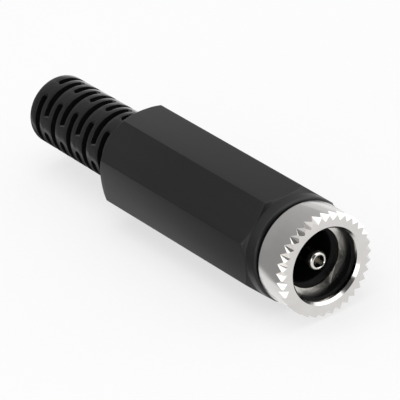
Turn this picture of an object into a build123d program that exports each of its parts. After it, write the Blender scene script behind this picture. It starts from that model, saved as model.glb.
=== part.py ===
from build123d import *
from math import cos, radians, sqrt
import os

# In-line barrel power jack, 5.5 by 2.1 mm, lying on one flat of its octagonal grip.
# Units mm. The origin is the centre of the mating face, +X leaves the mouth, +Z is up.
# A distance s is measured from the mating face back towards the cable end.

# Nose barrel, turned and plated brass
nose_r = 5.5
nose_len = 4.1
edge_break = 0.1
tooth_count = 34
tooth_on_face = 0.65
tooth_on_side = 0.95
tooth_half_width = 0.62
mouth_r = 4.05
mouth_len = 3.2
snap_depth = 0.2
tube_r = 3.8
relief_r = 4.3
relief_len = 0.8
thread_r = 4.75
thread_len = 7.1
thread_lead = 0.35
lip_len = 0.4
lip_r = 3.35
barrel_end = nose_len + relief_len + thread_len

# Solder tags, stamped sheet
tag_sheet = 0.4
pin_tag_r = 1.6
pin_tag_width = 2.2
pin_tag_len = 5.5
pin_tag_corner = 1.0
pin_eye_r = 0.55
pin_eye_back = 1.3
sleeve_tag_width = 3.0
sleeve_tag_corner = 0.6
sleeve_eye_r = 0.7
sleeve_eye_s = 3.2
sleeve_tag_len = 5.6
neck_width = 1.7
neck_len = 2.0
clamp_len = 4.4
clamp_ear = 2.0
clamp_bite = 0.3
tag_s = barrel_end - lip_len - tag_sheet

# Sleeve contact, one rolled sheet with three spring fingers
sheet = 0.25
contact_front = 2.0
seam_width = 2.3
seam_turn = 45
finger_turns = (105, 225, 345)
finger_width = 1.3
finger_heel = 0.15
finger_root = 3.7
finger_bow = 7.3
finger_tip = 8.7
finger_reach = 2.6
finger_flare = 0.35
window_play = 0.25
sleeve_r = tube_r - sheet

# Socket insulator, one moulding
rim_front = 1.1
floor_s = 3.1
plug_r = 2.85
plug_lead = 0.2
plug_floor = 0.6
back_len = 1.2
boss_r = 1.9
boss_out = 1.0
back_s = tag_s - back_len
boss_end = barrel_end + boss_out
plug_end = back_s + back_len - plug_floor

# Centre pin
pin_r = 1.05
pin_tip = 1.3
pin_bevel = 0.25
pin_hole_r = 0.65
pin_hole_len = 3.0
collar_r = 1.5
collar_len = 0.5
shank_r = 0.8
head_r = 1.25
head_len = 0.5

# Shell, one moulding with its grip and strain relief
shell_gap = 0.3
shell_edge = 0.25
thread_clearance = 0.04
thread_run_out = 0.6
across_flats_front = 11.4
across_flats_rear = 11.3
collar_drop = 0.05
front_collar_len = 1.5
front_bevel = 0.5
flats_len = 25.2
rear_bevel = 1.0
bevel_crown = 0.04
rear_face_r = 5.5
rear_edge = 0.15
tail_r_root = 3.88
tail_r_end = 3.8
end_collar_len = 1.175
tail_bevel = 0.3
tail_bore_r = 2.6
cable_r = 2.4
cable_lead = 0.2
pocket_r = 4.3
pocket_play = 3.5
funnel_len = 2.7
slot_rows = 9
slot_from_grip = 2.5
slot_pitch = 1.475
slot_width = 0.85
slots_per_row = 3
slot_over = 1.0
web_angle = 25
web_turn_even = 68
web_turn_odd = 8
flats = 8

# Places that follow from the sizes above
seat_r = mouth_r + snap_depth
shell_front = nose_len + shell_gap
collar_end = shell_front + front_collar_len
grip_end = collar_end + flats_len
grip_back = grip_end + rear_bevel
last_slot = grip_back + slot_from_grip + (slot_rows - 1) * slot_pitch
collar_start = last_slot + slot_width / 2
tail_end = collar_start + end_collar_len
neck_start = barrel_end + sleeve_tag_len
clamp_start = neck_start + neck_len
clamp_end = clamp_start + clamp_len
clamp_r = cable_r - clamp_bite
corner_r = across_flats_front / 2 / cos(radians(180 / flats))


def bar(s0, s1, r0, r1=None):
    """Round bar on the axis from s0 to s1, straight or tapering from r0 to r1."""
    low = (Align.CENTER, Align.CENTER, Align.MIN)
    if r1 is None:
        solid = Cylinder(r0, s1 - s0, align=low)
    else:
        solid = Cone(r0, r1, s1 - s0, align=low)
    return Pos(-s0, 0, 0) * Rot(0, -90, 0) * solid


def turned(turn, solid):
    """Turn a solid built on the -Y side about the axis, towards +Z."""
    return Rot(-turn, 0, 0) * solid


def block(s0, s1, r0, r1, width):
    """Block on the -Y side from radius r0 to r1, as wide as given along Z."""
    centre = Pos(-(s0 + s1) / 2, -(r0 + r1) / 2, 0)
    return centre * Box(s1 - s0, r1 - r0, width)


def tooth_gap():
    """V groove across the front corner of the nose, on the -Y side."""
    start = Vector(0, -(nose_r - tooth_on_face), 0)
    end = Vector(-tooth_on_side, -nose_r, 0)
    run = (end - start).normalized()
    out = Vector(0, 0, 1).cross(run).normalized()
    if out.X < 0:
        out = out * -1
    depth = (Vector(0, -nose_r, 0) - start).dot(out)
    over = (end - start).length
    section = Plane(origin=start - run * over, x_dir=Vector(0, 0, 1), z_dir=run)
    high = 2 * depth * section.y_dir.dot(out)
    wide = 2 * tooth_half_width
    profile = section * make_face(Polyline((0, 0), (wide, high), (-wide, high), close=True))
    return extrude(profile, amount=3 * over, dir=run)


def nose_barrel():
    body = bar(0, nose_len - edge_break, nose_r)
    body += bar(nose_len - edge_break, nose_len, nose_r, nose_r - edge_break)
    start = nose_len + relief_len
    body += bar(nose_len, start, relief_r)
    body += bar(start, start + thread_lead, thread_r - thread_lead, thread_r)
    body += bar(start + thread_lead, barrel_end - thread_lead, thread_r)
    body += bar(barrel_end - thread_lead, barrel_end, thread_r, thread_r - thread_lead)
    body -= bar(0, edge_break, mouth_r + edge_break, mouth_r)
    body -= bar(edge_break, rim_front, mouth_r)
    body -= bar(rim_front, mouth_len, seat_r)
    body -= bar(mouth_len, barrel_end - lip_len, tube_r)
    body -= bar(barrel_end - lip_len, barrel_end, lip_r)
    gap = tooth_gap()
    gaps = [turned(k * 360 / tooth_count, gap) for k in range(tooth_count)]
    return body - gaps


def socket_insulator():
    body = bar(rim_front, mouth_len, seat_r) - bar(rim_front, mouth_len, tube_r)
    body += bar(floor_s, back_s, sleeve_r) + bar(back_s, tag_s, tube_r) + bar(tag_s, boss_end, boss_r)
    front = bar(contact_front, mouth_len, mouth_r) - bar(contact_front, mouth_len, sleeve_r)
    ring = front + bar(mouth_len, back_s, tube_r) - bar(mouth_len, back_s, sleeve_r)
    body += ring & turned(seam_turn, block(contact_front, back_s, 0, mouth_r, seam_width))
    body -= bar(floor_s, floor_s + plug_lead, plug_r + plug_lead, plug_r)
    body -= bar(floor_s + plug_lead, plug_end, plug_r)
    body -= bar(plug_end, boss_end, shank_r)
    start = finger_root - window_play
    window = block(start, finger_tip + window_play, 0, tube_r, finger_width + 2 * window_play)
    return body - [turned(t, window) for t in finger_turns]


def spring_finger():
    """Leaf lanced from the sleeve, bowed inwards, on the -Y side."""
    flat_r = sqrt(tube_r**2 - (finger_width / 2) ** 2)
    root = (-finger_root, sheet / 2 - flat_r)
    bow = (-finger_bow, -(finger_reach + sheet / 2))
    tip = (-finger_tip, -(finger_reach + finger_flare + sheet / 2))
    path = Polyline((finger_heel - finger_root, root[1]), root, bow, tip)
    return extrude(trace(path, sheet), amount=finger_width / 2, both=True)


def sleeve_contact():
    tube = bar(contact_front, back_s, tube_r) - bar(contact_front, back_s, sleeve_r)
    tube -= turned(seam_turn, block(contact_front, back_s, 0, mouth_r, seam_width))
    window = block(finger_root, finger_tip + window_play, 0, mouth_r, finger_width + 2 * window_play)
    tube -= [turned(t, window) for t in finger_turns]
    return tube + [turned(t, spring_finger()) for t in finger_turns]


def centre_pin():
    body = bar(pin_tip, pin_tip + pin_bevel, pin_r - pin_bevel, pin_r)
    body += bar(pin_tip + pin_bevel, plug_end - collar_len, pin_r)
    body += bar(plug_end - collar_len, plug_end, collar_r)
    body += bar(plug_end, boss_end + tag_sheet, shank_r)
    body += bar(boss_end + tag_sheet, boss_end + tag_sheet + head_len, head_r, head_r - head_len / 2)
    return body - bar(pin_tip, pin_tip + pin_hole_len, pin_hole_r)


def strip(s0, s1, low, high, width, round_end=0):
    """Flat strip of sheet across Z heights low and high, its rear corners rounded."""
    flat = Pos(-(s0 + s1) / 2, 0, (low + high) / 2) * Box(s1 - s0, width, high - low)
    if round_end:
        rear = flat.edges().filter_by(Axis.Z).group_by(Axis.X)[0]
        flat = fillet(rear, round_end)
    return flat


def eye(s, r):
    return Pos(-s, 0, 0) * Cylinder(r, 4 * tube_r)


def pin_tag():
    top = pin_tag_r
    end = boss_end + pin_tag_len
    back = boss_end + tag_sheet
    ring = bar(boss_end, back, top) + strip(boss_end, back, 0, top, pin_tag_width)
    blade = strip(boss_end, end, top - tag_sheet, top, pin_tag_width, pin_tag_corner)
    body = ring + blade - bar(boss_end, back, shank_r)
    return body - eye(end - pin_eye_back, pin_eye_r)


def sleeve_tag():
    high = -clamp_r
    low = high - tag_sheet
    body = bar(tag_s, tag_s + tag_sheet, tube_r) - bar(tag_s, tag_s + tag_sheet, boss_r)
    body += strip(tag_s, neck_start, low, high, sleeve_tag_width, sleeve_tag_corner)
    body += strip(tag_s, clamp_start + neck_width / 2, low, high, neck_width)
    trough = bar(clamp_start, clamp_end, -low) - bar(clamp_start, clamp_end, clamp_r)
    body += trough & strip(clamp_start, clamp_end, 2 * low, 0, -4 * low)
    for side in (-1, 1):
        ear = strip(clamp_start, clamp_end, 0, clamp_ear, tag_sheet)
        body += Pos(0, side * (clamp_r + tag_sheet / 2), 0) * ear
    return body - eye(barrel_end + sleeve_eye_s, sleeve_eye_r)


def flat_cut():
    """What is left outside one flat of the grip, on the -Y side."""
    out = corner_r + 1
    front = (-shell_front, -across_flats_front / 2)
    rear = (-grip_back, -across_flats_rear / 2)
    side = Polyline(front, rear, (rear[0], -out), (front[0], -out), close=True)
    return extrude(make_face(side), amount=out, both=True)


def grip():
    """Octagonal grip with both ends turned, made as a turned bar with its flats cut off."""
    end_r = across_flats_front / 2 - collar_drop
    front = (-collar_end, end_r)
    front_corner = (-collar_end - front_bevel, corner_r)
    rear_corner = (-grip_end, corner_r)
    rear = (rear_edge - grip_back, rear_face_r)
    outline = Polyline((-grip_back, 0), (-shell_front, 0), (-shell_front, end_r - shell_edge))
    outline += Polyline((-shell_front, end_r - shell_edge), (-shell_front - shell_edge, end_r), front)
    outline += SagittaArc(front, front_corner, bevel_crown)
    outline += Line(front_corner, rear_corner)
    outline += SagittaArc(rear_corner, rear, bevel_crown)
    outline += Polyline(rear, (-grip_back, rear_face_r - rear_edge), (-grip_back, 0))
    body = revolve(make_face(outline), Axis.X)
    cut = flat_cut()
    return body - [turned(k * 360 / flats, cut) for k in range(flats)]


def strain_relief():
    tail = bar(grip_end, tail_end - tail_bevel, tail_r_root, tail_r_end)
    return tail + bar(tail_end - tail_bevel, tail_end, tail_r_end, tail_r_end - tail_bevel)


def slot_row(index):
    """Slots round the tail in one row, leaving webs between them."""
    s = grip_back + slot_from_grip + index * slot_pitch
    inner = cable_r - slot_over
    outer = tail_r_root + slot_over
    section = Pos(-s, -(inner + outer) / 2) * Rectangle(slot_width, outer - inner)
    share = 360 / slots_per_row
    slot = revolve(section, Axis.X, share - web_angle)
    first = web_turn_even if index % 2 == 0 else web_turn_odd
    return [turned(first - web_angle / 2 + k * share, slot) for k in range(slots_per_row)]


def shell():
    pocket_start = barrel_end + thread_run_out
    pocket_end = clamp_end + pocket_play
    funnel_end = pocket_end + funnel_len
    body = grip() + strain_relief()
    body -= bar(shell_front, pocket_start, thread_r + thread_clearance)
    body -= bar(pocket_start, pocket_end, pocket_r)
    body -= bar(pocket_end, funnel_end, pocket_r, tail_bore_r)
    body -= bar(funnel_end, collar_start, tail_bore_r)
    body -= bar(collar_start, tail_end, cable_r)
    body -= bar(tail_end - cable_lead, tail_end, cable_r, cable_r + cable_lead)
    return body - [slot for k in range(slot_rows) for slot in slot_row(k)]


NODES = {
    "shell": shell,
    "nose_barrel": nose_barrel,
    "socket_insulator": socket_insulator,
    "sleeve_contact": sleeve_contact,
    "centre_pin": centre_pin,
    "pin_tag": pin_tag,
    "sleeve_tag": sleeve_tag,
}

os.makedirs("parts", exist_ok=True)
for name, make in NODES.items():
    export_step(make(), "parts/" + name + ".step")
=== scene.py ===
from math import atan2, cos, pi, radians, sin, tan

import bpy
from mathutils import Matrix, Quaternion, Vector


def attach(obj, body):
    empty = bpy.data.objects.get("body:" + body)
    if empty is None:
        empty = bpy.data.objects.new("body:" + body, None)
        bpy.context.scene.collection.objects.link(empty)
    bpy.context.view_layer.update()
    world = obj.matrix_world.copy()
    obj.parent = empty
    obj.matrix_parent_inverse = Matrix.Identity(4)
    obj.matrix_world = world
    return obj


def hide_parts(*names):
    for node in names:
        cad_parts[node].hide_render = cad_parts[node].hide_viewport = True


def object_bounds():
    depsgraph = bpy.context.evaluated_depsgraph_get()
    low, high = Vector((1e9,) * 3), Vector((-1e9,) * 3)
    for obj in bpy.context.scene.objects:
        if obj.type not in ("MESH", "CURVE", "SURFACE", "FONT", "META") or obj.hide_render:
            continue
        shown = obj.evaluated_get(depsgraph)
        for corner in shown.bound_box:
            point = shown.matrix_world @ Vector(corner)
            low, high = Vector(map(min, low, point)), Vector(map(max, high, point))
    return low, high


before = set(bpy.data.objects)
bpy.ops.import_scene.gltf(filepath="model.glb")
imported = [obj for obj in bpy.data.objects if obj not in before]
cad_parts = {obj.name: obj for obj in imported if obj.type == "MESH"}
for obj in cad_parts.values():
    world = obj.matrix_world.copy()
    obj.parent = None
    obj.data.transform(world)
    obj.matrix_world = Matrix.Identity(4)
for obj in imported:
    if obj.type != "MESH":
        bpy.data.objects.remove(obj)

cad_low, cad_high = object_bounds()

# Nose barrel: turned from brass bar and bored right through, its front corner milled into a ring
# of teeth, then nickel plated. Its stem, behind the smooth nose, has the thread for the shell.
# Sizes are in mm here and below, and s is measured back from the mating face.

MM = 0.001
nose_r = 5.5
nose_end = 4.1
stem_r = 4.3
barrel_end = 12.0
tooth_count = 34
tooth_root_on_face = (0.0, 4.85)
tooth_root_on_side = (0.95, 5.5)
tooth_half_angle = 49.2
thread_start = 4.5
thread_pitch = 0.75
thread_turns = 9
thread_root_r = 4.2
thread_crest_r = 4.74


def only(piece):
    bpy.ops.object.select_all(action="DESELECT")
    piece.select_set(True)
    bpy.context.view_layer.objects.active = piece


def draw_outline(name, outline, closed=True):
    """Draws a section on the -Y side, point after point, and stays in edit mode."""
    bpy.ops.object.select_all(action="DESELECT")
    bpy.ops.mesh.primitive_plane_add(size=1)
    piece = bpy.context.object
    piece.name = name
    places = [Vector((-s, -r, 0)) for s, r in outline]
    if closed:
        places.append(places[0])
    bpy.ops.object.mode_set(mode="EDIT")
    bpy.ops.mesh.merge(type="CENTER")
    bpy.ops.transform.translate(value=places[0])
    for last, place in zip(places, places[1:]):
        bpy.ops.mesh.extrude_vertices_move(TRANSFORM_OT_translate={"value": place - last})
    return piece


def close_mesh(weld=0.002):
    """Welds the mesh that is being edited and turns its faces outwards."""
    bpy.ops.mesh.select_all(action="SELECT")
    bpy.ops.mesh.remove_doubles(threshold=weld)
    bpy.ops.mesh.normals_make_consistent(inside=False)
    bpy.ops.object.mode_set(mode="OBJECT")


def turn_piece(name, outline, steps, closed=True):
    """A turned piece: its outline spun once round the axis."""
    piece = draw_outline(name, outline, closed)
    bpy.ops.mesh.select_all(action="SELECT")
    bpy.ops.mesh.spin(steps=steps, angle=2 * pi, center=(0, 0, 0), axis=(1, 0, 0))
    close_mesh()
    return piece


def apply_modifiers(piece):
    only(piece)
    for modifier in list(piece.modifiers):
        bpy.ops.object.modifier_apply(modifier=modifier.name)


def combine(piece, tool, operation):
    """Cuts a mesh with another, or unites them. The other is gone afterwards."""
    cut = piece.modifiers.new("cut", "BOOLEAN")
    cut.operation = operation
    cut.solver = "EXACT"
    cut.object = tool
    apply_modifiers(piece)
    bpy.data.objects.remove(tool)


def ring_of(first, turns):
    """Copies a mesh round the axis, at turns in degrees from -Y towards +Z, and joins the copies."""
    copies = []
    for turn in turns:
        copy = first.copy()
        copy.data = first.data.copy()
        bpy.context.collection.objects.link(copy)
        copy.rotation_euler.x = -radians(turn)
        copies.append(copy)
    bpy.context.view_layer.update()
    only(copies[0])
    for copy in copies:
        copy.select_set(True)
    bpy.ops.object.join()
    bpy.ops.object.transform_apply(location=True, rotation=True, scale=True)
    return bpy.context.object


def milling_cutter(height=0.75, length=3.4):
    """A square bar that stands on its edge along the root of the first tooth gap."""
    front = Vector((-tooth_root_on_face[0], -tooth_root_on_face[1], 0))
    side = Vector((-tooth_root_on_side[0], -tooth_root_on_side[1], 0))
    along = (front - side).normalized()
    out = Vector((-along.y, along.x, 0))
    if out.x < 0:
        out = -out
    bpy.ops.object.select_all(action="DESELECT")
    bpy.ops.mesh.primitive_cube_add(size=1)
    cutter = bpy.context.object
    half_width = height * tan(radians(tooth_half_angle))
    bpy.ops.object.mode_set(mode="EDIT")
    bpy.ops.transform.rotate(value=pi / 4, orient_axis="X", center_override=(0, 0, 0))
    bpy.ops.transform.resize(value=(length, height * 2**0.5, half_width * 2**0.5))
    bpy.ops.object.mode_set(mode="OBJECT")
    cutter.rotation_euler.z = atan2(along.y, along.x)
    cutter.location = (front + side) / 2 + out * height
    bpy.ops.object.transform_apply(location=True, rotation=True, scale=True)
    return cutter


def soften_edges(piece, width, segments, chosen):
    """Bevels the sharp edges that chosen(s, radius) picks by the place of their middle."""
    sharp = radians(30)
    only(piece)
    bpy.ops.object.mode_set(mode="EDIT")
    bpy.ops.mesh.select_mode(type="EDGE")
    bpy.ops.mesh.select_all(action="DESELECT")
    bpy.ops.mesh.edges_select_sharp(sharpness=sharp)
    bpy.ops.object.mode_set(mode="OBJECT")
    points = piece.data.vertices
    for edge in piece.data.edges:
        if edge.select:
            middle = (points[edge.vertices[0]].co + points[edge.vertices[1]].co) / 2
            edge.select = chosen(-middle.x, middle.yz.length)
    bpy.ops.object.mode_set(mode="EDIT")
    bpy.ops.mesh.bevel(offset=width, segments=segments, clamp_overlap=True)
    bpy.ops.mesh.select_mode(type="VERT")
    close_mesh(weld=0.0005)


def thread_ridge(name, start, turns, root_r, crest_r, limit):
    """A helical ridge whose radius limit(s, radius) holds at each place along the axis."""
    half_root = 0.34
    half_crest = 0.05
    section = [(start - half_root, root_r), (start - half_crest, crest_r),
               (start + half_crest, crest_r), (start + half_root, root_r)]
    ridge = draw_outline(name, section)
    close_mesh()
    helix = ridge.modifiers.new("helix", "SCREW")
    helix.axis = "X"
    helix.screw_offset = -thread_pitch
    helix.iterations = turns
    helix.steps = helix.render_steps = 48
    apply_modifiers(ridge)
    for point in ridge.data.vertices:
        radius = point.co.yz.length
        point.co.yz *= limit(-point.co.x, radius) / radius
    bpy.ops.object.mode_set(mode="EDIT")
    bpy.ops.mesh.select_all(action="SELECT")
    bpy.ops.mesh.fill_holes(sides=0)
    close_mesh(weld=0.0001)
    return ridge


def stem_limit(s, radius):
    """The ridge rises out of the stem behind its relief and sinks in again a pitch before the end."""
    relief = 0.8
    steepness = 1.6
    room = min(s - nose_end - relief, barrel_end - thread_pitch - s)
    return min(radius, max(thread_root_r, thread_root_r + steepness * room))


def linear(colour):
    """An sRGB hex colour as linear RGBA."""
    shades = [int(colour[place:place + 2], 16) / 255 for place in (1, 3, 5)]
    return [c / 12.92 if c <= 0.04045 else ((c + 0.055) / 1.055) ** 2.4 for c in shades] + [1]


def add_node(tree, kind, settings=(), links=()):
    """Adds a shader node with its properties and sockets set, and its inputs linked."""
    node = tree.nodes.new("ShaderNode" + kind)
    values = dict(settings)
    for name in [name for name in values if name in node.bl_rna.properties]:
        setattr(node, name, values.pop(name))
    sockets = {socket.identifier: socket for socket in node.inputs}
    for name, value in values.items():
        sockets[name].default_value = value
    for name, source in dict(links).items():
        if isinstance(source, bpy.types.Node):
            source = next(socket for socket in source.outputs if socket.enabled)
        tree.links.new(source, sockets[name])
    return node


def new_finish(name):
    """A material with no nodes yet."""
    finish = bpy.data.materials.new(name)
    finish.use_nodes = True
    finish.node_tree.nodes.clear()
    return finish, finish.node_tree


def on_surface(tree):
    return add_node(tree, "TexCoord").outputs["Object"]


def noise(tree, size, detail, place):
    """Noise with lumps of about one size, in mm."""
    pattern = add_node(tree, "TexNoise", {"Scale": 1 / (size * MM), "Detail": detail}, {"Vector": place})
    return pattern.outputs["Fac"]


def between(tree, first, second, share):
    """A colour between two sRGB hex colours."""
    return add_node(tree, "Mix", {
        "data_type": "RGBA", "A_Color": linear(first), "B_Color": linear(second)}, {"Factor_Float": share})


def lathe_marks(tree, spacing):
    """Rings that a turning tool leaves: they follow the place along the axis and the radius."""
    split = add_node(tree, "SeparateXYZ", links={"Vector": on_surface(tree)})
    across = add_node(tree, "CombineXYZ", links={"Y": split.outputs["Y"], "Z": split.outputs["Z"]})
    radius = add_node(tree, "VectorMath", {"operation": "LENGTH"}, {"Vector": across})
    path = add_node(tree, "CombineXYZ", links={"X": split.outputs["X"], "Y": radius.outputs["Value"]})
    rings = noise(tree, spacing, 2.0, path)
    return add_node(tree, "Bump", {"Strength": 0.35, "Distance": 0.002 * MM}, {"Height": rings})


def nickel_plate(name, bright, dull, smooth, rough, spacing):
    """Bright nickel over turned brass: a warm grey mirror, blurred a little by the tool's rings."""
    finish, tree = new_finish(name)
    marks = lathe_marks(tree, spacing)
    haze = noise(tree, 1.8, 4.0, on_surface(tree))
    blur = add_node(tree, "MapRange", {"To Min": smooth, "To Max": rough}, {"Value": haze})
    shade = between(tree, bright, dull, haze)
    metal = add_node(tree, "BsdfPrincipled", {"Metallic": 1.0}, {
        "Base Color": shade, "Roughness": blur, "Normal": marks})
    add_node(tree, "OutputMaterial", links={"Surface": metal})
    return finish


def to_size(piece, finish, smooth_angle=30):
    """Brings a mesh drawn in mm to metres, smooths its curved faces and gives it its finish."""
    only(piece)
    piece.scale = (MM, MM, MM)
    bpy.ops.object.transform_apply(location=True, rotation=True, scale=True)
    bpy.ops.object.shade_smooth_by_angle(angle=radians(smooth_angle))
    piece.data.materials.clear()
    piece.data.materials.append(finish)


nose = turn_piece("turned_nose", [
    (0, 4.18), (0, nose_r), (3.9, nose_r), (4.05, 5.44), (nose_end, 5.37), (nose_end, stem_r),
    (barrel_end - 0.1, stem_r), (barrel_end, stem_r - 0.1), (barrel_end, 3.4), (barrel_end - 0.05, 3.35),
    (11.6, 3.35), (11.6, 3.8), (3.2, 3.8), (3.2, 4.25), (1.1, 4.25), (1.1, 4.0), (0.32, 3.93),
], steps=8 * tooth_count)
for first_gap in (0, 1):
    cutter = milling_cutter()
    gaps = ring_of(cutter, [k * 360 / tooth_count for k in range(first_gap, tooth_count, 2)])
    bpy.data.objects.remove(cutter)
    combine(nose, gaps, "DIFFERENCE")
soften_edges(nose, 0.025, 2, lambda s, r: s < 1.2 and r > 4.6)
ridge = thread_ridge("stem_thread", thread_start, thread_turns, thread_root_r, thread_crest_r, stem_limit)
combine(nose, ridge, "UNION")
to_size(nose, nickel_plate("nickel_on_turned_brass", "#d8d6d4", "#cecbc8", 0.12, 0.2, 0.05))
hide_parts("nose_barrel")
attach(nose, "socket")

# Socket moulding: black polyester moulded in one piece, with a rim behind the mouth, the hole for
# the plug, three windows for the spring fingers and a boss at the back. It is pressed into the barrel.


def soft_copy(node, name, width):
    """A copy of a CAD node, in mm, whose sharp edges are broken by a small bevel."""
    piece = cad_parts[node].copy()
    piece.data = piece.data.copy()
    piece.parent = None
    piece.name = name
    bpy.context.collection.objects.link(piece)
    only(piece)
    piece.scale = (1 / MM, 1 / MM, 1 / MM)
    bpy.ops.object.transform_apply(location=True, rotation=True, scale=True)
    bpy.ops.object.mode_set(mode="EDIT")
    bpy.ops.mesh.select_all(action="SELECT")
    bpy.ops.mesh.remove_doubles(threshold=0.0005)
    bpy.ops.mesh.dissolve_limited(angle_limit=radians(1))
    bpy.ops.object.mode_set(mode="OBJECT")
    bevel = piece.modifiers.new("broken_edge", "BEVEL")
    bevel.width = width
    bevel.segments = 2
    bevel.limit_method = "ANGLE"
    bevel.angle_limit = radians(35)
    apply_modifiers(piece)
    return piece


def moulded_polyester():
    """Glass-filled polyester: black, dull and very finely pitted where the fibres lie near the face."""
    finish, tree = new_finish("black_glass_filled_polyester")
    pits = noise(tree, 0.06, 3.0, on_surface(tree))
    cloud = noise(tree, 1.5, 2.0, on_surface(tree))
    grain = add_node(tree, "Bump", {"Strength": 0.3, "Distance": 0.004 * MM}, {"Height": pits})
    blur = add_node(tree, "MapRange", {"To Min": 0.4, "To Max": 0.58}, {"Value": cloud})
    shade = between(tree, "#080809", "#0d0d0e", cloud)
    plastic = add_node(tree, "BsdfPrincipled", {"IOR": 1.57, "Specular IOR Level": 0.16}, {
        "Base Color": shade, "Roughness": blur, "Normal": grain})
    add_node(tree, "OutputMaterial", links={"Surface": plastic})
    return finish


moulding = soft_copy("socket_insulator", "socket_moulding", 0.04)
to_size(moulding, moulded_polyester())
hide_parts("socket_insulator")
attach(moulding, "socket")

# Contact sleeve: phosphor bronze sheet 0.25 mm thick, blanked, rolled to a split tube and nickel
# plated. Three fingers lanced from it bow inwards to grip the plug. It slides on to the moulding.


def rolled_nickel():
    """Nickel on rolled sheet: fine lines run along the sheet, with soft cloudy patches over them."""
    finish, tree = new_finish("nickel_on_rolled_bronze")
    stretch = add_node(tree, "Mapping", {"Scale": (0.08, 1, 1)}, {"Vector": on_surface(tree)})
    lines = noise(tree, 0.04, 3.0, stretch)
    cloud = noise(tree, 1.2, 3.0, on_surface(tree))
    grain = add_node(tree, "Bump", {"Strength": 0.3, "Distance": 0.003 * MM}, {"Height": lines})
    blur = add_node(tree, "MapRange", {"To Min": 0.18, "To Max": 0.32}, {"Value": cloud})
    shade = between(tree, "#dcdad5", "#c6c3bc", cloud)
    metal = add_node(tree, "BsdfPrincipled", {"Metallic": 1.0}, {
        "Base Color": shade, "Roughness": blur, "Normal": grain})
    add_node(tree, "OutputMaterial", links={"Surface": metal})
    return finish


def flare_mouth(piece, depth, inwards):
    """Draws the inner edge of the front end back, so that the sleeve's mouth guides the plug in."""
    just_behind_front = 2.06
    inner_r = 3.62
    for point in piece.data.vertices:
        point.select = -point.co.x < just_behind_front and point.co.yz.length < inner_r
    bpy.ops.object.mode_set(mode="EDIT")
    bpy.ops.mesh.select_mode(type="VERT")
    bpy.ops.transform.translate(value=(-depth, 0, 0))
    bpy.ops.transform.resize(value=(1, inwards, inwards), center_override=(0, 0, 0))
    bpy.ops.object.mode_set(mode="OBJECT")


contact = soft_copy("sleeve_contact", "contact_sleeve", 0.04)
flare_mouth(contact, 0.5, 0.925)
to_size(contact, rolled_nickel(), smooth_angle=14)
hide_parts("sleeve_contact")
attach(contact, "socket")

# Centre pin: turned from brass rod, drilled hollow at its tip and nickel plated. Its collar sits on
# the floor of the plug's hole, and its rear end is riveted over the tag behind the moulding.

pin_hole_r = 0.65
pin_r = 1.05
pin = turn_piece("plug_pin", [
    (4.3, 0), (4.3, pin_hole_r), (1.36, pin_hole_r), (1.31, 0.7), (1.3, 0.75), (1.33, 0.83), (1.39, 0.91),
    (1.48, 0.98), (1.58, 1.03), (1.7, pin_r), (10.1, pin_r), (10.1, 1.45), (10.15, 1.5), (10.55, 1.5),
    (10.6, 1.45), (10.6, 0.8), (13.4, 0.8), (13.4, 1.2), (13.5, 1.24), (13.7, 1.19), (13.85, 1.02),
    (13.9, 0.8), (13.9, 0),
], steps=96, closed=False)
to_size(pin, nickel_plate("nickel_on_turned_pin", "#dedcd8", "#cfcdc8", 0.1, 0.18, 0.04))
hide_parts("centre_pin")
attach(pin, "socket")

# Solder tags: stamped from brass sheet 0.4 mm thick and hot tinned. The pin's tag is riveted on the
# pin; the sleeve's tag is held by the barrel's rolled lip, and its rear ears fold over the cable.


def hot_tin():
    """Hot-dipped tin: bright but uneven, with cloudy runs where the tin has pooled and crystallised."""
    finish, tree = new_finish("hot_tin_on_brass")
    runs = add_node(tree, "TexNoise", {"Scale": 1 / (0.9 * MM), "Detail": 4.0, "Distortion": 0.6}, {
        "Vector": on_surface(tree)})
    frost = add_node(tree, "TexVoronoi", {"Scale": 1 / (0.35 * MM)}, {"Vector": on_surface(tree)})
    swell = add_node(tree, "Bump", {"Strength": 0.35, "Distance": 0.02 * MM}, {
        "Height": runs.outputs["Fac"]})
    blur = add_node(tree, "MapRange", {"To Min": 0.2, "To Max": 0.42}, {"Value": frost.outputs["Distance"]})
    shade = between(tree, "#d4d5d6", "#b3b4b5", runs.outputs["Fac"])
    metal = add_node(tree, "BsdfPrincipled", {"Metallic": 1.0}, {
        "Base Color": shade, "Roughness": blur, "Normal": swell})
    add_node(tree, "OutputMaterial", links={"Surface": metal})
    return finish


tinned = hot_tin()
for node, name in (("pin_tag", "pin_solder_tag"), ("sleeve_tag", "sleeve_solder_tag")):
    tag = soft_copy(node, name, 0.05)
    to_size(tag, tinned)
    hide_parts(node)
    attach(tag, "socket")

# Shell: moulded in one piece of black ABS, an octagonal grip that is threaded inside its front end
# and runs out into a slotted strain relief for the cable. It is screwed on over the tags.

shell_front = 4.4
collar_r = 5.65
grip_start = 5.9
grip_end = 31.1
grip_back = 32.1
corner_r = 6.2
rear_face_r = 5.5
flats = 8
flat_front_r = 5.7
flat_rear_r = 5.65
thread_bore_r = 4.79
thread_bore_end = 12.6
shell_thread_root_r = 4.9
shell_thread_crest_r = 4.36
shell_thread_turns = 12
pocket_r = 4.3
tail_front_r = 3.88
tail_rear_r = 3.8
tail_end = 48.0
tail_bore_r = 2.6
cable_r = 2.4
slot_rows = 9
slot_first = 34.6
slot_pitch = 1.475
slot_width = 0.85
slots_per_row = 3
slot_angle = 95
web_turns = (68, 8)
step_angle = 2.5
grid_turn = 0.5          # puts the ends of all slots on the grid of spun faces


def tail_r(s):
    """Outside radius of the tapering strain relief."""
    share = (s - grip_back) / (tail_end - grip_back)
    return tail_front_r + share * (tail_rear_r - tail_front_r)


def slot_sides(row):
    middle = slot_first + row * slot_pitch
    return middle - slot_width / 2, middle + slot_width / 2


def turn_of(point):
    """Turn of a point round the axis in degrees, from -Y towards +Z."""
    return atan2(point.z, -point.y) * 180 / pi


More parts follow.
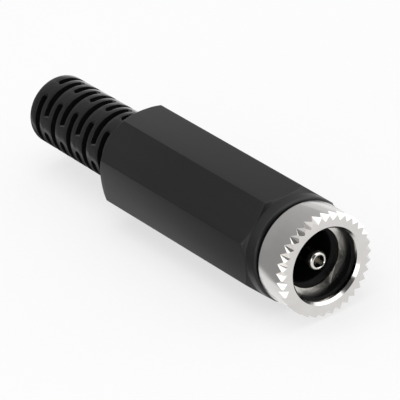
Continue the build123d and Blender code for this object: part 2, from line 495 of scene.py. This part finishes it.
def shell_outline():
    """Section of the shell, with a point at each side of each row of slots, outside and inside."""
    front = [(shell_front, thread_bore_r), (shell_front, 5.42), (4.44, 5.5), (4.57, 5.62), (4.65, collar_r)]
    front += [(grip_start, collar_r), (6.12, 5.92), (6.4, corner_r)]
    rear = [(grip_end, corner_r), (31.56, 5.88), (31.93, rear_face_r), (32.04, 5.43), (grip_back, 5.33)]
    sides = [side for row in range(slot_rows) for side in slot_sides(row)]
    outside = [(grip_back, tail_front_r)] + [(side, tail_r(side)) for side in sides]
    end = [(47.68, tail_r(47.68)), (47.85, 3.75), (47.95, 3.65), (tail_end, 3.5), (tail_end, tail_bore_r)]
    collar = [(47.8, cable_r), (sides[-1], cable_r)]
    inside = [(side, tail_bore_r) for side in reversed(sides)]
    funnel = [(30.2, tail_bore_r), (27.5, pocket_r)]
    pocket = [(thread_bore_end, pocket_r), (thread_bore_end, thread_bore_r)]
    return front + rear + outside + end + collar + inside + funnel + pocket


def select_faces(piece, row, radius):
    """Selects the faces of one row's slots that lie at a radius, leaving out the webs."""
    low, high = slot_sides(row)
    share = 360 / slots_per_row
    for face in piece.data.polygons:
        middle = face.center
        from_web = (turn_of(middle) - web_turns[row % 2] + share / 2) % share
        in_slot = abs(from_web - share / 2) > (share - slot_angle) / 2
        in_row = low < -middle.x < high and abs(middle.yz.length - radius) < 0.1
        face.select = in_row and in_slot


def cut_slots(piece):
    """Pushes each row's slots in to the bore of the strain relief and opens them into it."""
    for row in range(slot_rows):
        outer_r = tail_r(slot_first + row * slot_pitch)
        only(piece)
        bpy.ops.object.mode_set(mode="EDIT")
        bpy.ops.mesh.select_mode(type="FACE")
        bpy.ops.mesh.select_all(action="DESELECT")
        bpy.ops.object.mode_set(mode="OBJECT")
        select_faces(piece, row, tail_bore_r)
        bpy.ops.object.mode_set(mode="EDIT")
        bpy.ops.mesh.delete(type="ONLY_FACE")
        bpy.ops.object.mode_set(mode="OBJECT")
        select_faces(piece, row, outer_r)
        inwards = tail_bore_r / outer_r
        bpy.ops.object.mode_set(mode="EDIT")
        bpy.ops.mesh.extrude_region_move()
        bpy.ops.transform.resize(value=(1, inwards, inwards), center_override=(0, 0, 0))
        bpy.ops.mesh.delete(type="ONLY_FACE")
        bpy.ops.mesh.select_mode(type="VERT")
        close_mesh(weld=0.005)


def round_slot_ends(piece, reach):
    """Draws the sides of every slot together towards its two ends, over the length of reach."""
    share = 360 / slots_per_row
    for point in piece.data.vertices:
        s = -point.co.x
        row = round((s - slot_first) / slot_pitch)
        middle = slot_first + row * slot_pitch
        if not 0 <= row < slot_rows or abs(abs(s - middle) - slot_width / 2) > 0.01:
            continue
        from_web = (turn_of(point.co) - web_turns[row % 2]) % share
        inside = radians(min(from_web, share - from_web) - (share - slot_angle) / 2) * tail_front_r
        if -0.05 < inside < reach:
            narrowed = max(0.3, (1 - (1 - max(inside, 0) / reach) ** 2) ** 0.5)
            point.co.x = -middle - (s - middle) * narrowed


def cut_flats(piece):
    """Trims the turned grip to eight flats that come together very slightly towards the rear."""
    slope = (flat_rear_r - flat_front_r) / (grip_back - shell_front)
    only(piece)
    bpy.ops.object.mode_set(mode="EDIT")
    for k in range(flats):
        turn = radians(k * 360 / flats)
        out = Vector((0, -cos(turn), sin(turn)))
        place = out * flat_front_r - Vector((shell_front, 0, 0))
        bpy.ops.mesh.select_all(action="SELECT")
        bpy.ops.mesh.bisect(plane_co=place, plane_no=out + Vector((slope, 0, 0)), use_fill=True,
                            clear_outer=True)
    close_mesh()


def shell_limit(s, radius):
    """The shell's own ridge starts behind its mouth and runs out before the pocket."""
    lead_in = 0.3
    steepness = 1.2
    room = min(s - shell_front - lead_in, thread_bore_end - s)
    return max(radius, min(shell_thread_root_r, shell_thread_root_r - steepness * room))


def black_abs():
    """Black ABS: satin on the grip's flats, and glossy and a little lumpy on the strain relief."""
    finish, tree = new_finish("black_abs_moulding")
    place = on_surface(tree)
    split = add_node(tree, "SeparateXYZ", links={"Vector": place})
    grain = noise(tree, 0.08, 3.0, place)
    flow = add_node(tree, "Mapping", {"Scale": (0.15, 1, 1)}, {"Vector": place})
    streaks = noise(tree, 0.9, 4.0, flow)
    polish = add_node(tree, "MapRange", {
        "From Min": -grip_back * MM, "From Max": -grip_end * MM, "To Min": 0.12, "To Max": 0.34}, {
        "Value": split.outputs["X"]})
    on_tail = add_node(tree, "MapRange", {
        "From Min": -(grip_back + 0.3) * MM, "From Max": -(grip_back + 1.5) * MM, "To Max": 0.35}, {
        "Value": split.outputs["X"]})
    uneven = add_node(tree, "MapRange", {"To Min": -0.04, "To Max": 0.04}, {"Value": streaks})
    blur = add_node(tree, "Math", {"operation": "ADD"}, {"Value": polish, "Value_001": uneven})
    knots = noise(tree, 0.5, 2.0, place)
    lumpy = add_node(tree, "Bump", {"Distance": 0.07 * MM}, {"Height": knots, "Strength": on_tail})
    pits = add_node(tree, "Bump", {"Strength": 0.2, "Distance": 0.004 * MM}, {
        "Height": grain, "Normal": lumpy})
    shade = between(tree, "#111112", "#161618", streaks)
    plastic = add_node(tree, "BsdfPrincipled", {"IOR": 1.54, "Specular IOR Level": 0.3}, {
        "Base Color": shade, "Roughness": blur, "Normal": pits})
    add_node(tree, "OutputMaterial", links={"Surface": plastic})
    return finish


shell = turn_piece("moulded_shell", shell_outline(), steps=int(360 / step_angle))
only(shell)
shell.rotation_euler.x = -radians(grid_turn)
bpy.ops.object.transform_apply(location=True, rotation=True, scale=True)
cut_slots(shell)
round_slot_ends(shell, 0.42)
cut_flats(shell)
soften_edges(shell, 0.08, 3, lambda s, r: 34 < s < 47 and r > 3.7)
soften_edges(shell, 0.08, 2, lambda s, r: s < 32.2 and r > 5.25)
shell_ridge = thread_ridge("shell_thread", thread_start + thread_pitch / 2, shell_thread_turns,
                           shell_thread_root_r, shell_thread_crest_r, shell_limit)
combine(shell, shell_ridge, "UNION")
to_size(shell, black_abs())
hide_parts("shell")
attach(shell, "grip")

# Studio: a pale sweep under the part, white all round it, and a soft lamp above. Only what mirrors
# the room sees the painted reflections: a grey screen on the near side, a grey card painted on the
# floor before it, a painted shadow under the tail, a painted dark patch towards the camera, a bright
# patch overhead that is a painted reflection of the softbox, and a narrow strip painted in as a glint.
# The screen and card give the nose its band and the flats their tones.


def smooth_ramp(tree, value, start, end, low=0.0, high=1.0):
    """Goes smoothly from low to high while value goes from start to end."""
    return add_node(tree, "MapRange", {
        "interpolation_type": "SMOOTHSTEP", "From Min": start, "From Max": end,
        "To Min": low, "To Max": high}, {"Value": value})


bpy.ops.object.select_all(action="DESELECT")
bpy.ops.mesh.primitive_plane_add(size=1.2, location=(0, 0, cad_low.z))
floor = bpy.context.object
floor.name = "studio_floor"
bpy.ops.object.transform_apply(location=True, rotation=True, scale=True)

paper, tree = new_finish("pale_paper")
path = add_node(tree, "LightPath")
tint = between(tree, "#f2f2f2", "#f7f7f7", noise(tree, 0.4, 3.0, on_surface(tree)))
lit = add_node(tree, "BsdfDiffuse", links={"Color": tint})
along_floor = add_node(tree, "SeparateXYZ", links={"Vector": on_surface(tree)})
# Painted reflection: for reflected rays only, the floor before the nose is painted grey, as a card lying
# there would look.
near_side = smooth_ramp(tree, along_floor.outputs["Y"], -8 * MM, -11.5 * MM)
behind_nose = smooth_ramp(tree, along_floor.outputs["X"], -1 * MM, -7 * MM)
painted_card = add_node(tree, "Math", {"operation": "MULTIPLY"}, {"Value": near_side, "Value_001": behind_nose})
with_painted_card = add_node(tree, "MapRange", {"To Min": 1.0, "To Max": 0.38}, {"Value": painted_card})
# Painted shadow: for reflected rays only, the floor under the tail and close beside the part is painted
# nearly black, where the part's own shadow falls.
across_part = add_node(tree, "Math", {"operation": "ABSOLUTE"}, {"Value": along_floor.outputs["Y"]})
close_by = smooth_ramp(tree, across_part, 9 * MM, 4 * MM)
under_tail = smooth_ramp(tree, along_floor.outputs["X"], -26 * MM, -34 * MM)
painted_tail_shadow = add_node(tree, "Math", {"operation": "MULTIPLY"}, {"Value": close_by, "Value_001": under_tail})
painted_reflection_level = add_node(tree, "Mix", {"B_Float": 0.12}, {"Factor_Float": painted_tail_shadow, "A_Float": with_painted_card})
level = add_node(tree, "Mix", {"B_Float": 1.0}, {
    "Factor_Float": path.outputs["Is Camera Ray"], "A_Float": painted_reflection_level})
white = add_node(tree, "Emission", {"Color": (1, 1, 1, 1)}, {"Strength": level})
seen = add_node(tree, "Math", {"operation": "MULTIPLY", "Value_001": 0.66}, {
    "Value": path.outputs["Is Camera Ray"]})
share = add_node(tree, "Math", {"operation": "ADD", "use_clamp": True}, {
    "Value": seen, "Value_001": path.outputs["Is Glossy Ray"]})
surface = add_node(tree, "MixShader", links={"Fac": share, "Shader": lit, "Shader_001": white})
add_node(tree, "OutputMaterial", links={"Surface": surface})
floor.data.materials.append(paper)

screen_side = (0, -0.691, 0.7225)
painted_dark_way = (0.7465, -0.46, 0.4807)
painted_glint_way = (0.512, -0.819, 0.256)
world = bpy.data.worlds.new("white_studio")
bpy.context.scene.world = world
world.use_nodes = True
tree = world.node_tree
tree.nodes.clear()
way = add_node(tree, "TexCoord").outputs["Generated"]
path = add_node(tree, "LightPath")
# Painted reflection: only reflections see a grey screen on the near side.
towards_screen = add_node(tree, "VectorMath", {"operation": "DOT_PRODUCT", "Vector_001": screen_side}, {
    "Vector": way})
beside = smooth_ramp(tree, towards_screen.outputs["Value"], -0.25, -0.18)
split = add_node(tree, "SeparateXYZ", links={"Vector": way})
behind = smooth_ramp(tree, split.outputs["X"], -0.35, -0.5)
covered = add_node(tree, "Math", {"operation": "MULTIPLY"}, {"Value": beside, "Value_001": behind})
shaded = add_node(tree, "MapRange", {"From Min": -0.6, "From Max": 0.4, "To Min": 0.38, "To Max": 0.56}, {
    "Value": split.outputs["Y"]})
# Painted reflection of the softbox: only reflections see the room brighter overhead.
overhead = smooth_ramp(tree, split.outputs["Z"], 0.25, 0.5, 1.0, 2.0)
open_side = add_node(tree, "Mix", {"B_Float": 0.8}, {"Factor_Float": behind, "A_Float": overhead})
screen = add_node(tree, "Mix", links={"Factor_Float": covered, "A_Float": open_side, "B_Float": shaded})
# Painted reflection: only reflections see the room turn dark in the directions round the camera.
towards_camera = add_node(tree, "VectorMath", {"operation": "DOT_PRODUCT", "Vector_001": painted_dark_way}, {
    "Vector": way})
painted_dark = smooth_ramp(tree, towards_camera.outputs["Value"], 0.76, 0.84)
# Painted glint: only reflections see a narrow bright strip in this direction; it is no lamp.
towards_strip = add_node(tree, "VectorMath", {"operation": "DOT_PRODUCT", "Vector_001": painted_glint_way}, {
    "Vector": way})
painted_glint = smooth_ramp(tree, towards_strip.outputs["Value"], 0.96, 0.975, 0.1, 2.6)
dimmed_by_painted_dark = add_node(tree, "Mix", {"B_Float": 0.1}, {"Factor_Float": painted_dark, "A_Float": screen})
painted_reflection_level = add_node(tree, "Math", {"operation": "MAXIMUM"}, {"Value": dimmed_by_painted_dark, "Value_001": painted_glint})
unseen = add_node(tree, "Mix", {"A_Float": 0.75}, {
    "Factor_Float": path.outputs["Is Glossy Ray"], "B_Float": painted_reflection_level})
level = add_node(tree, "Mix", {"B_Float": 1.0}, {
    "Factor_Float": path.outputs["Is Camera Ray"], "A_Float": unseen})
sky = add_node(tree, "Background", {"Color": (1, 1, 1, 1)}, {"Strength": level})
add_node(tree, "OutputWorld", links={"Surface": sky})

lamp = bpy.data.lights.new("overhead_softbox", "AREA")
lamp.shape = "SQUARE"
lamp.size = 0.35
lamp.energy = 0.6
softbox = bpy.data.objects.new("overhead_softbox", lamp)
softbox.location = (-0.02, -0.06, 0.4)
softbox.rotation_euler = (Vector((-0.02, 0, 0)) - softbox.location).to_track_quat("-Z", "Y").to_euler()
softbox.visible_glossy = False
bpy.context.collection.objects.link(softbox)

# Camera: a long lens half a metre away, in front of the part on its near side and 29 degrees above
# it, rolled by a few degrees. All three were fitted to the photograph's outlines.

camera_place = Vector((0.36457, -0.23747, 0.24678))
aim = Vector((-0.02125, -0.00056, -0.00053))
camera_roll = -7.33
lens = bpy.data.cameras.new("camera")
lens.lens = 455.9
lens.sensor_width = 36
lens.clip_start = 0.01
lens.clip_end = 10
camera = bpy.data.objects.new("camera", lens)
camera.location = camera_place
camera.rotation_mode = "QUATERNION"
camera.rotation_quaternion = (aim - camera_place).to_track_quat("-Z", "Y") @ Quaternion(
    (0, 0, 1), radians(camera_roll))
bpy.context.collection.objects.link(camera)
bpy.context.scene.camera = camera
bpy.context.scene.view_settings.view_transform = "Standard"
